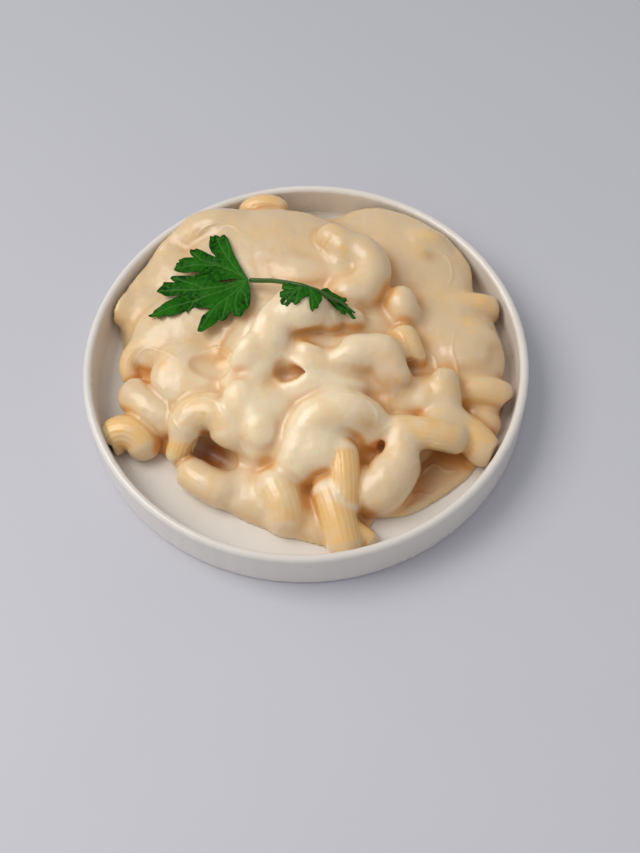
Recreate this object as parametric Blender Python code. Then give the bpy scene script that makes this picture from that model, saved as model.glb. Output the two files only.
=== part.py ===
"""A round, low-walled stoneware dish of macaroni and cheese with a parsley sprig on top.

Metres, +Z up.  The origin is at the middle of the dish's underside.  Lengths in the tables
below are millimetres and angles are degrees; MM turns them into metres.
"""
import math

import bmesh
import bpy
from mathutils import Matrix, Vector
from mathutils.bvhtree import BVHTree

MM = 0.001

# The dish: a flat base, an upright wall and a rounded rim.
DISH_RADIUS = 90.2
DISH_HEIGHT = 20.8
FLOOR_THICKNESS = 4.5
RIM_WIDTH = 3.6
BASE_ROUNDING = 1.8
FLOOR_FILLET = 4.5
WALL_DRAFT = 0.9
DISH_STEPS = 72

# The food keeps this far from the dish, and the parsley this far from the food.
FOOD_GAP = 0.3
LEAF_GAP = 1.0

# The pool of sauce: how far it reaches from the middle, every 10 degrees from +X round by +Y.
POOL_REACH = (81.5, 82.5, 83, 82, 83, 85, 86, 86, 78, 84, 85, 85.5, 85.5, 85.5, 85, 84, 84, 76,
              71, 73, 71, 68, 66, 65.8, 67.3, 70.2, 72, 76, 81, 71, 76, 77.8, 80, 81, 82, 82.5)
POOL_DEPTH = 2.2
POOL_EDGE = 3.0

# The mound under the noodles.
MOUND_X = -2.0
MOUND_Y = 14.0
MOUND_RADIUS = 74.0
MOUND_HEIGHT = 25.0
MOUND_SPOKES = 96
MOUND_RINGS = 24

# Each noodle is a bent tube.  x, y, z: the middle of its centre line.  turn, pitch: its heading
# there.  lean: 0 for an arch standing up, 90 for one lying with its back to the right.
# bend: centre line radius.  sweep: its arc.  radius: of the coated tube.
NOODLES = {
    "arm": (44.7, -37.9, 20.5, -11, 0, 7, 28.9, 48, 6.4),
    "curl": (33.8, -50.2, 15.4, -116, -13, -77, 18.3, 76, 8.8),
    "curl_end": (24.3, -57, 11.6, -174, -11, -101, 8.1, 81, 9.2),
    "wall_end": (66, -36.3, 13.4, -23, -13, -45, 16.9, 39, 6.8),
    "edge_tube": (72.1, -16.1, 15.1, -5, -3, -18, 21.6, 45, 5.8),
    "post": (55.1, -22.9, 19.9, -92, -25, -72, 32.2, 24, 6),
    "post_foot": (54.7, -30.9, 18.9, -8, -14, -53, 6.2, 83, 5.2),
    "crescent": (69.4, 22.8, 17, 6, 0, -30, 16.8, 75, 5.8),
    "knob": (41.1, 18, 26.2, -73, -33, 1, 5, 68, 6.2),
    "grooved": (41.8, -0.1, 24.4, -70, -21, 0, 10.1, 49, 5.6),
    "bow": (29.5, 34.6, 30.9, -88, -3, -88, 10.9, 174, 7.6),
    "mouth": (16.4, 47.9, 32.5, -43, -8, -5, 7, 61, 6.6),
    "lump_a": (24, -5.3, 29.5, 1, -4, -23, 14.4, 64, 7.6),
    "lump_b": (33.7, -11.6, 23.8, -68, -33, -28, 15.5, 60, 7),
    "dome": (5.1, -31.6, 26.4, 22, 14, -44, 14.9, 165, 8.6),
    "rib": (13.2, -54.7, 19, -91, -23, -17, 31.3, 35, 6),
    "front": (9.8, -68.2, 12.4, -77, -17, -24, 50.6, 23, 7),
    "tip": (18.6, -74.2, 8.5, -34, -16, 22, 14, 23, 3.6),
    "left_front": (-11.1, -60.1, 12.4, -74, -22, -27, 13.3, 53, 7.8),
    "slope": (-19.5, -28.8, 22.9, -73, -27, -7, 18.5, 56, 8.6),
    "ball": (-41.4, -49.2, 11, -37, 2, 29, 22.5, 32, 7.2),
    "mouth_l": (-49.5, -32.9, 14.9, -119, -26, -5, 10.3, 52, 5.6),
    "hood": (-38.3, -24.1, 21.7, -14, 5, -60, 9.1, 152, 7.8),
    "yellow": (-71, -26.2, 12, -9, 4, -47, 9.7, 103, 7),
    "lump_l": (-63.2, -16.4, 14.5, -42, 0, 25, 29.2, 32, 7.8),
    "claw": (-69.3, 8.7, 16.6, 35, 26, -67, 8.4, 148, 5.6),
    "claw_tube": (-56, 1, 18.5, -159, -4, -25, 8.9, 49, 4.4),
    "shoulder": (-42.4, 69.2, 17.4, 10, 8, -70, 26.8, 64, 8.6),
    "back_tube": (-16.1, 78.4, 21, 0, 0, -62, 20.3, 54, 5.6),
    "flap_tube": (53.5, 55, 21, -17, -5, -23, 6.4, 110, 5.2),
}

# Swells of sauce over the noodles: x, y, z, turn, pitch, half length, half width, half height.
SWELLS = {
    "hood_fill": (-27.6, -29.2, 20, -80, -20, 11, 9, 7),
    "lump_fill": (23.5, -12.6, 24, 0, -10, 12, 9, 7),
    "mid_rise": (5.2, -6.7, 28.5, 0, -15, 18, 13, 8),
    "leaf_bed": (-48, 46, 15, -50, 0, 20, 14, 9),
    "mid_fill": (-5.8, -21.6, 25, -60, -20, 10, 8, 5),
    "behind_dome": (6.2, -18.9, 27, -10, -10, 16, 8, 6),
    "head": (-0.9, 12.7, 36.5, 0, 0, 13, 11, 10),
    "head_lobe": (7.6, 9.4, 32, -20, 0, 8, 7, 7),
    "side_lobe": (18.9, 11.1, 30, -20, 0, 6, 5, 5),
    "ridge": (-19.4, -4.6, 29, -122, -32, 24, 12, 9),
    "ridge_foot": (-12.2, -26.4, 26, -60, -20, 9, 7, 5),
    "slope_c": (-18.1, -32.2, 21, -80, -25, 10, 8, 6),
    "dome_lobe": (-4.2, -43.4, 18, -100, -20, 12, 10, 9),
    "dome_body": (7.4, -39.4, 20, 0, -30, 13, 13, 9),
    "bow_fill": (16.3, 37.2, 28, 0, 0, 9, 12, 6),
    "slope_b": (-46, -9, 19, -60, -15, 18, 12, 8),
    "low_front": (-21, -55.8, 9, -20, 0, 24, 9, 6),
    "low_right": (1.9, -66.6, 7, -10, 0, 16, 7, 4),
    "under_leaf": (-50, 18, 20, -150, -10, 24, 16, 9),
    "corner": (-79, 36, 13, -40, 0, 10, 7, 6),
    "back": (-10, 52, 22, -10, 0, 34, 22, 11),
    "flap": (42, 50, 15, -40, 0, 34, 24, 10),
    "right": (58, 10, 12, -80, 0, 32, 22, 11),
    "sheet_r": (68, 0, 12, -80, 0, 16, 13, 7),
    "left": (-60, 34, 9, -60, 0, 32, 18, 10),
    "flat_lump": (0.6, 34.7, 32, -20, 0, 8, 5, 3),
}

# Hollows left between the noodles, as for the swells.
HOLLOWS = {
    "cave": (-38, -38.6, 14.5, -35, 0, 12, 5, 7),
    "under_head": (-7.5, -13, 33, 10, 0, 4.5, 4, 7),
    "pit": (31.9, -23.6, 23, 20, 0, 9, 6, 6),
    "under_arm": (46.8, -47.4, 14, -8, 0, 16, 4, 6),
}
NOODLE_SIDES = 16
NOODLE_STEP = 12.0
HEAP_VOXEL = 1.5
HEAP_SMOOTHING = 5
HEAP_TRIANGLE_SHARE = 0.066

# The parsley: one large lobed blade, a stem and two leaflets along it.
LEAF_EDGES = (107, 131, 148, 166, 185, 213, 244, 277)
LEAF_REACH = (30, 31, 33, 38, 43, 30, 18)
LEAF_NOTCH = (7, 18, 27, 23, 27, 19, 16, 5)
LEAF_THICKNESS = 0.8
LEAF_SPOKES_PER_LOBE = 6
LEAF_RINGS = 4
WELD_DISTANCE = 0.05
STEM_ROUTE = ((-22, 30), (-12, 25), (-4, 19), (4, 15.5), (11, 13), (21, 9))
STEM_RADIUS = 1.0
STEM_SPREAD = 3.0

# Leaflets: the point of the stem they grow from, then edges, reaches and notches.
LEAFLETS = {
    "leaflet_near": (3, (165, 205, 240, 268, 318), (13, 13, 10, 12), (3, 8, 8, 6, 3)),
    "leaflet_far": (4, (318, 334, 352, 372), (11, 13, 8), (3, 8, 7, 3)),
}


def clear_scene():
    for item in list(bpy.data.objects):
        bpy.data.objects.remove(item)


def make_material(name, colour, roughness, subsurface=0.0):
    material = bpy.data.materials.new(name)
    material.use_nodes = True
    shader = material.node_tree.nodes["Principled BSDF"]
    shader.inputs["Base Color"].default_value = (*colour, 1.0)
    shader.inputs["Roughness"].default_value = roughness
    shader.inputs["Metallic"].default_value = 0.0
    shader.inputs["Subsurface Weight"].default_value = subsurface
    return material


def add_object(name, mesh, material=None):
    item = bpy.data.objects.new(name, mesh)
    bpy.context.collection.objects.link(item)
    if material is not None:
        mesh.materials.append(material)
    return item


def mesh_from(name, build):
    """A new mesh filled by build(bm), with its faces turned outwards."""
    bm = bmesh.new()
    build(bm)
    bmesh.ops.recalc_face_normals(bm, faces=bm.faces)
    mesh = bpy.data.meshes.new(name)
    bm.to_mesh(mesh)
    bm.free()
    return mesh


def hide_helper(item):
    item.hide_render = True
    item.display_type = "WIRE"


# ---------------------------------------------------------------- dish

def arc(centre_r, centre_z, radius, start, stop, steps):
    """Points of an arc in the r-z plane, angles from +R towards +Z."""
    points = []
    for step in range(steps + 1):
        angle = math.radians(start + (stop - start) * step / steps)
        points.append((centre_r + radius * math.cos(angle), centre_z + radius * math.sin(angle)))
    return points


def dish_profile():
    """From the middle of the inner floor up over the rim and down to the middle of the base."""
    rim = RIM_WIDTH / 2
    inner = DISH_RADIUS - RIM_WIDTH
    points = [(0.0, FLOOR_THICKNESS)]
    points += arc(inner - WALL_DRAFT - FLOOR_FILLET, FLOOR_THICKNESS + FLOOR_FILLET,
                  FLOOR_FILLET, -90, 0, 5)
    points += arc(DISH_RADIUS - rim, DISH_HEIGHT - rim, rim, 180, 0, 8)
    points += arc(DISH_RADIUS - BASE_ROUNDING, BASE_ROUNDING, BASE_ROUNDING, 0, -90, 4)
    points.append((0.0, 0.0))
    return points


def make_turned(name, profile, steps, material=None):
    """A profile of (radius, height) pairs turned about Z."""
    def build(bm):
        verts = [bm.verts.new((r * MM, 0.0, z * MM)) for r, z in profile]
        for first, second in zip(verts, verts[1:]):
            bm.edges.new((first, second))
    item = add_object(name, mesh_from(name, build), material)
    screw = item.modifiers.new("turn", "SCREW")
    screw.axis = "Z"
    screw.angle = math.tau
    screw.steps = steps
    screw.render_steps = steps
    screw.use_merge_vertices = True
    screw.merge_threshold = 0.00005
    screw.use_smooth_shade = True
    return item


def make_dish():
    stoneware = make_material("stoneware", (0.66, 0.62, 0.58), 0.35)
    return make_turned("dish", dish_profile(), DISH_STEPS, stoneware)


def make_cavity():
    """The space that the food may fill: just inside the dish, and open above it."""
    inner = DISH_RADIUS - RIM_WIDTH - FOOD_GAP
    low = FLOOR_THICKNESS + FOOD_GAP
    profile = [(0.0, 70.0), (inner, 70.0), (inner, DISH_HEIGHT - RIM_WIDTH / 2)]
    profile += arc(inner - WALL_DRAFT - FLOOR_FILLET, low + FLOOR_FILLET, FLOOR_FILLET, 0, -90, 4)
    profile.append((0.0, low))
    cavity = make_turned("food_space", profile, DISH_STEPS)
    hide_helper(cavity)
    return cavity


# ---------------------------------------------------------------- heap

def axes_of(turn, pitch, lean):
    """Heading of a noodle, the way its back faces, and the direction across both."""
    turn, pitch, lean = (math.radians(angle) for angle in (turn, pitch, lean))
    heading = Vector((math.cos(turn) * math.cos(pitch),
                      math.sin(turn) * math.cos(pitch), math.sin(pitch)))
    right = Vector((math.sin(turn), -math.cos(turn), 0.0))
    up = right.cross(heading)
    back = math.cos(lean) * up + math.sin(lean) * right
    return heading, back, heading.cross(back)


def add_ball(bm, centre, radius, matrix=None):
    place = Matrix.Translation(centre) @ (matrix or Matrix.Scale(radius, 4))
    bmesh.ops.create_icosphere(bm, subdivisions=3, radius=1.0, matrix=place)


def add_noodle(bm, place):
    x, y, z, turn, pitch, lean, bend, sweep, radius = place
    heading, back, side = axes_of(turn, pitch, lean)
    centre = Vector((x, y, z)) - bend * back
    steps = max(2, round(sweep / NOODLE_STEP))
    outs = []
    for step in range(steps + 1):
        angle = math.radians(sweep * (step / steps - 0.5))
        outs.append(math.cos(angle) * back + math.sin(angle) * heading)
    for out in (outs[0], outs[-1]):
        add_ball(bm, (centre + bend * out) * MM, radius * MM)
    rings = []
    for out in outs:
        ring = []
        for corner in range(NOODLE_SIDES):
            around = math.tau * corner / NOODLE_SIDES
            offset = math.cos(around) * out + math.sin(around) * side
            ring.append(bm.verts.new((centre + bend * out + radius * offset) * MM))
        rings.append(ring)
    for low, high in zip(rings, rings[1:]):
        for corner in range(NOODLE_SIDES):
            following = (corner + 1) % NOODLE_SIDES
            bm.faces.new((low[corner], low[following], high[following], high[corner]))
    bm.faces.new(rings[0][::-1])
    bm.faces.new(rings[-1])


def add_swell(bm, place):
    x, y, z, turn, pitch, length, width, height = place
    heading, up, side = axes_of(turn, pitch, 0)
    columns = Matrix((heading * length * MM, side * width * MM, up * height * MM)).transposed()
    add_ball(bm, Vector((x, y, z)) * MM, 1.0, columns.to_4x4())


def pool_reach(angle):
    """Reach of the pool towards an angle in degrees, eased between the named directions."""
    spacing = 360 / len(POOL_REACH)
    index, part = divmod((angle % 360) / spacing, 1)
    ease = part * part * (3 - 2 * part)
    first = POOL_REACH[int(index) % len(POOL_REACH)]
    second = POOL_REACH[(int(index) + 1) % len(POOL_REACH)]
    return first + (second - first) * ease


def mound_height(x, y, inset):
    """Top of the mound at a place that lies inset millimetres inside the pool's edge."""
    pool = POOL_DEPTH * math.sqrt(min(max(inset / POOL_EDGE, 0.0), 1.0))
    away = ((x - MOUND_X) ** 2 + (y - MOUND_Y) ** 2) / MOUND_RADIUS ** 2
    return FLOOR_THICKNESS + pool + MOUND_HEIGHT * max(1 - away, 0.0)


def add_mound(bm):
    floor = bm.verts.new((0.0, 0.0, FLOOR_THICKNESS * MM))
    top = bm.verts.new((0.0, 0.0, mound_height(0, 0, POOL_REACH[0]) * MM))
    rings = []
    for ring in range(MOUND_RINGS + 1):
        share = math.sin(math.pi / 2 * (ring + 1) / (MOUND_RINGS + 1))
        row = []
        for spoke in range(MOUND_SPOKES):
            angle = 360 * spoke / MOUND_SPOKES
            reach = pool_reach(angle)
            x = reach * share * math.cos(math.radians(angle))
            y = reach * share * math.sin(math.radians(angle))
            z = mound_height(x, y, reach * (1 - share))
            row.append(bm.verts.new((x * MM, y * MM, z * MM)))
        rings.append(row)
    for spoke in range(MOUND_SPOKES):
        following = (spoke + 1) % MOUND_SPOKES
        bm.faces.new((top, rings[0][spoke], rings[0][following]))
        for low, high in zip(rings, rings[1:]):
            bm.faces.new((low[spoke], high[spoke], high[following], low[following]))
        bm.faces.new((rings[-1][spoke], floor, rings[-1][following]))


def make_heap(cavity):
    """Noodles, swells and mound melted into one body, hollowed, and trimmed to the dish."""
    def build(bm):
        add_mound(bm)
        for place in SWELLS.values():
            add_swell(bm, place)
        for place in NOODLES.values():
            add_noodle(bm, place)
    sauce = make_material("cheese_sauce", (0.80, 0.62, 0.38), 0.35, 0.2)
    heap = add_object("pasta_heap", mesh_from("pasta_heap", build), sauce)
    melt = heap.modifiers.new("melt", "REMESH")
    melt.mode = "VOXEL"
    melt.voxel_size = HEAP_VOXEL * MM
    melt.use_smooth_shade = True
    for name, place in HOLLOWS.items():
        hollow = add_object("hollow_" + name, mesh_from(name, lambda bm: add_swell(bm, place)))
        hide_helper(hollow)
        scoop = heap.modifiers.new("scoop " + name, "BOOLEAN")
        scoop.operation = "DIFFERENCE"
        scoop.solver = "EXACT"
        scoop.object = hollow
    even = heap.modifiers.new("even", "REMESH")
    even.mode = "VOXEL"
    even.voxel_size = HEAP_VOXEL * MM
    even.use_smooth_shade = True
    soften = heap.modifiers.new("soften", "SMOOTH")
    soften.factor = 0.5
    soften.iterations = HEAP_SMOOTHING
    thin = heap.modifiers.new("thin", "DECIMATE")
    thin.ratio = HEAP_TRIANGLE_SHARE
    trim = heap.modifiers.new("trim", "BOOLEAN")
    trim.operation = "INTERSECT"
    trim.solver = "EXACT"
    trim.object = cavity
    return heap


# ---------------------------------------------------------------- parsley

def surface_of(item):
    """A tree of an object's evaluated mesh, to measure heights on."""
    graph = bpy.context.evaluated_depsgraph_get()
    return BVHTree.FromObject(item, graph)


def height_on(tree, x, y, spread):
    """Highest point of the surface around a place, in millimetres."""
    highest = FLOOR_THICKNESS
    for step_x in (-1, 0, 1):
        for step_y in (-1, 0, 1):
            start = Vector(((x + step_x * spread) * MM, (y + step_y * spread) * MM, 0.1))
            hit = tree.ray_cast(start, Vector((0.0, 0.0, -1.0)))[0]
            if hit is not None:
                highest = max(highest, hit.z / MM)
    return highest


def leaf_outline(edges, reaches, notches):
    """(angle, reach) pairs round a lobed blade, from its first edge to its last."""
    outline = []
    for lobe, reach in enumerate(reaches):
        start, stop = edges[lobe], edges[lobe + 1]
        for spoke in range(LEAF_SPOKES_PER_LOBE):
            part = spoke / LEAF_SPOKES_PER_LOBE
            notch = notches[lobe] + (notches[lobe + 1] - notches[lobe]) * part
            swell = 1 - abs(2 * part - 1) ** 2.6
            outline.append((start + (stop - start) * part, notch + (reach - notch) * swell))
    outline.append((edges[-1], notches[-1]))
    return outline


def stem_level(tree, place):
    """Height of the stem's centre line at a point of its route."""
    return height_on(tree, *place, STEM_SPREAD) + LEAF_GAP + STEM_RADIUS


def make_blade(name, tree, base, edges, reaches, notches, material):
    """A lobed blade that bridges the heap below it and starts inside the stem."""
    outline = leaf_outline(edges, reaches, notches)
    rows = []
    for angle, reach in outline:
        row = []
        for ring in range(1, LEAF_RINGS + 1):
            distance = reach * ring / LEAF_RINGS
            row.append((base[0] + distance * math.cos(math.radians(angle)),
                        base[1] + distance * math.sin(math.radians(angle))))
        rows.append(row)
    lowest = [[height_on(tree, x, y, 1.5) + LEAF_GAP for x, y in row] for row in rows]
    heights = [list(row) for row in lowest]
    for _ in range(6):
        heights = eased(heights, lowest)
    base_height = stem_level(tree, base) - LEAF_THICKNESS / 2

    def build(bm):
        layers = []
        for lift in (0.0, LEAF_THICKNESS):
            centre = bm.verts.new((base[0] * MM, base[1] * MM, (base_height + lift) * MM))
            grid = []
            for row, levels in zip(rows, heights):
                grid.append([bm.verts.new((x * MM, y * MM, (level + lift) * MM))
                             for (x, y), level in zip(row, levels)])
            layers.append((centre, grid))
        for centre, grid in layers:
            for first, second in zip(grid, grid[1:]):
                bm.faces.new((centre, first[0], second[0]))
                for ring in range(LEAF_RINGS - 1):
                    bm.faces.new((first[ring], first[ring + 1], second[ring + 1], second[ring]))
        loops = []
        for centre, grid in layers:
            loops.append([centre] + grid[0] + [row[-1] for row in grid[1:-1]] + grid[-1][::-1])
        low, high = loops
        for index, corner in enumerate(low):
            following = (index + 1) % len(low)
            bm.faces.new((corner, low[following], high[following], high[index]))
    return add_object(name, mesh_from(name, build), material)


def eased(heights, lowest):
    """Each height moved to the mean of its neighbours, and never below its own lowest level."""
    result = []
    for i, row in enumerate(heights):
        new_row = []
        for j, level in enumerate(row):
            near = [heights[max(i - 1, 0)][j], heights[min(i + 1, len(heights) - 1)][j],
                    row[max(j - 1, 0)], row[min(j + 1, len(row) - 1)]]
            new_row.append(max(lowest[i][j], sum(near) / len(near)))
        result.append(new_row)
    return result


def make_stem(tree, material):
    """The stem as a mesh made from a round curve that rests on the heap."""
    curve = bpy.data.curves.new("stem", "CURVE")
    curve.dimensions = "3D"
    curve.bevel_depth = STEM_RADIUS * MM
    curve.bevel_resolution = 2
    curve.use_fill_caps = True
    curve.resolution_u = 4
    spline = curve.splines.new("BEZIER")
    spline.bezier_points.add(len(STEM_ROUTE) - 1)
    for point, (x, y) in zip(spline.bezier_points, STEM_ROUTE):
        point.co = Vector((x, y, stem_level(tree, (x, y)))) * MM
        point.handle_left_type = "AUTO"
        point.handle_right_type = "AUTO"
    route = add_object("stem_route", curve)
    graph = bpy.context.evaluated_depsgraph_get()
    mesh = bpy.data.meshes.new_from_object(route.evaluated_get(graph))
    bpy.data.objects.remove(route)
    return add_object("stem", mesh, material)


def make_parsley(heap):
    parsley = make_material("parsley", (0.012, 0.09, 0.008), 0.45)
    tree = surface_of(heap)
    sprig = make_blade("parsley_sprig", tree, STEM_ROUTE[0], LEAF_EDGES, LEAF_REACH, LEAF_NOTCH,
                       parsley)
    pieces = [make_stem(tree, parsley)]
    for name, (point, edges, reaches, notches) in LEAFLETS.items():
        pieces.append(make_blade(name, tree, STEM_ROUTE[point], edges, reaches, notches, parsley))
    for piece in pieces:
        joint = sprig.modifiers.new("join " + piece.name, "BOOLEAN")
        joint.operation = "UNION"
        joint.solver = "EXACT"
        joint.object = piece
        hide_helper(piece)
    weld = sprig.modifiers.new("weld", "WELD")
    weld.merge_threshold = WELD_DISTANCE * MM
    return sprig


def main():
    clear_scene()
    make_dish()
    heap = make_heap(make_cavity())
    make_parsley(heap)


main()
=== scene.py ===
"""Macaroni and cheese in its stoneware dish: the sauced heap, the macaroni in it and the parsley.

Lengths in the tables are millimetres and angles degrees; MM turns them into metres.
"""
import math

import bmesh
import bpy
import numpy as np
from mathutils import Matrix, Vector, noise
from mathutils.bvhtree import BVHTree


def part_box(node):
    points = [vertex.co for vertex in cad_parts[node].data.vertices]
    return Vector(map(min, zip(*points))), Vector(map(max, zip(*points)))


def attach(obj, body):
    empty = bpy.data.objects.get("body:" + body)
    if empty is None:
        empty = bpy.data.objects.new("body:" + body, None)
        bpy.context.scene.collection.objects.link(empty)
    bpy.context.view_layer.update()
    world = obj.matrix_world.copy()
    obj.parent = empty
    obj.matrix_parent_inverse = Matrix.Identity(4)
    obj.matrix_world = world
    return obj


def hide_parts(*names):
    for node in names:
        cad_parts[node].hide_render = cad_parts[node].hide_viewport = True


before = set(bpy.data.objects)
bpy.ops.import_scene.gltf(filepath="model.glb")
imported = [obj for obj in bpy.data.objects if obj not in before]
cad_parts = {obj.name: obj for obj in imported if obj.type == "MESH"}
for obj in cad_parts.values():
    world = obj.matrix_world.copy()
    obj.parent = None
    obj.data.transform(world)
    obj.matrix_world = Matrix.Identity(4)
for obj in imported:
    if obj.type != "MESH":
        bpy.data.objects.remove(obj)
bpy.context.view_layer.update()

MM = 0.001
VOXEL = 0.85

# Where the food lies: the dish's floor and the inside of its wall.
dish_low, dish_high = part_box("dish")
heap_low, heap_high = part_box("pasta_heap")
FLOOR = heap_low[2] / MM - 0.15
WALL = heap_high[0] / MM
CORNER = 4.2

# The pool of sauce: how far it reaches from the middle, every 10 degrees from +X round by +Y.
POOL_REACH = (81.5, 82.5, 83, 82, 83, 85, 86, 86, 78, 84, 85, 85.5,
              85.5, 85.5, 85, 84, 84, 76, 71, 73, 71, 68, 66, 65.8,
              67.3, 70.2, 72, 76, 81, 71, 76, 77.8, 80, 81, 82, 82.5)
POOL_DEPTH = 2.2
POOL_EDGE = 3.0
MOUND = (-2.0, 14.0, 74.0, 25.0)

# Macaroni under the sauce.  x, y, z: middle of the centre line; turn, pitch: its heading there;
# lean: 0 for an arch standing up, 90 for one lying with its back to the right; bend: radius of
# the centre line; sweep: its arc; tube: its radius; blend: how softly the sauce joins it;
# show: 0 buried in sauce, 1 bare.
NOODLES = {
    "shoulder_lump": (-36.7, 66.0, 24.6, 3, 10, -26, 12.0, 89, 6, 3.5, 0.1),
    "arm": (44.7, -37.9, 20.5, -11, 0, 7, 28.9, 48, 5.8, 2, 0.55),
    "curl": (33.8, -50.2, 15.4, -116, -13, -77, 18.3, 76, 8.2, 3, 0),
    "curl_end": (24.3, -57.0, 11.6, -174, -11, -101, 8.1, 81, 8.6, 4, 0),
    "wall_end": (64.1, -37.1, 13.7, -41, -10, -46, 17.9, 39, 6.6, 1.8, 0.6),
    "edge_tube": (70.0, -17.1, 15.5, -9, -0, -14, 17.3, 49, 5.6, 2.5, 0.35),
    "post": (55.1, -22.9, 19.9, -92, -25, -72, 32.2, 24, 5.4, 3, 0.29),
    "post_foot": (54.7, -30.9, 18.9, -8, -14, -53, 6.2, 83, 4.6, 3, 0.2),
    "crescent": (67.6, 23.6, 16.0, 7, -0, -31, 17.2, 68, 5.2, 2.2, 0.6),
    "knob": (41.1, 18.0, 26.2, -73, -33, 1, 5.0, 68, 5.6, 4, 0.1),
    "grooved": (41.8, -0.1, 24.4, -70, -21, 0, 10.1, 49, 5, 2.2, 0.5),
    "bow": (29.5, 34.6, 30.9, -88, -3, -88, 10.9, 174, 7, 3.5, 0.1),
    "mouth": (16.4, 47.9, 32.5, -43, -8, -5, 7.0, 61, 6, 2.2, 0.35),
    "lump_a": (24.0, -5.3, 29.5, 1, -4, -23, 14.4, 64, 7, 4, 0.1),
    "lump_b": (33.7, -11.6, 23.8, -68, -33, -28, 15.5, 60, 6.4, 4, 0.1),
    "dome": (5.1, -31.6, 26.4, 22, 14, -44, 14.9, 165, 8, 3, 0.1),
    "rib": (13.2, -54.7, 19.0, -91, -23, -17, 31.3, 35, 5.4, 1.4, 0.9),
    "front": (9.8, -68.2, 12.4, -77, -17, -24, 50.6, 23, 6.4, 2.5, 0.7),
    "tip": (18.6, -74.2, 8.5, -34, -16, 22, 14.0, 23, 3, 1.5, 0.8),
    "left_front": (-11.1, -60.1, 12.4, -74, -22, -27, 13.3, 53, 7.2, 3, 0.5),
    "slope": (-19.5, -28.8, 22.9, -73, -27, -7, 18.5, 56, 8, 4.5, 0.1),
    "ball": (-41.4, -49.2, 11.0, -37, 2, 29, 22.5, 32, 6.6, 3, 0.3),
    "mouth_l": (-49.5, -32.9, 14.9, -119, -26, -5, 10.3, 52, 5, 1.2, 0.8),
    "hood": (-38.3, -24.1, 21.7, -14, 5, -60, 9.1, 152, 7.2, 2.5, 0.4),
    "yellow": (-72.4, -25.6, 12.0, -12, 4, -50, 7.4, 124, 6.4, 1.6, 0.8),
    "lump_l": (-63.2, -16.4, 14.5, -42, 0, 25, 29.2, 32, 7.2, 2.2, 0.15),
    "claw": (-69.2, 9.6, 16.7, 31, 27, -69, 8.5, 148, 3.8, 1.8, 0.5),
    "claw_tube": (-55.6, 1.1, 19.0, -169, 2, 44, 8.6, 42, 2.6, 1, 0.7),
    "shoulder": (-42.4, 69.2, 17.4, 10, 8, -70, 26.8, 64, 8, 6, 0.1),
    "back_tube": (-15.1, 78.9, 21.0, -2, 5, -33, 10.7, 68, 4.4, 2, 0.6),
    "flap_tube": (53.5, 55.0, 21.0, -17, -5, -23, 6.4, 110, 4.6, 3.5, 0.4),
}

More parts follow.
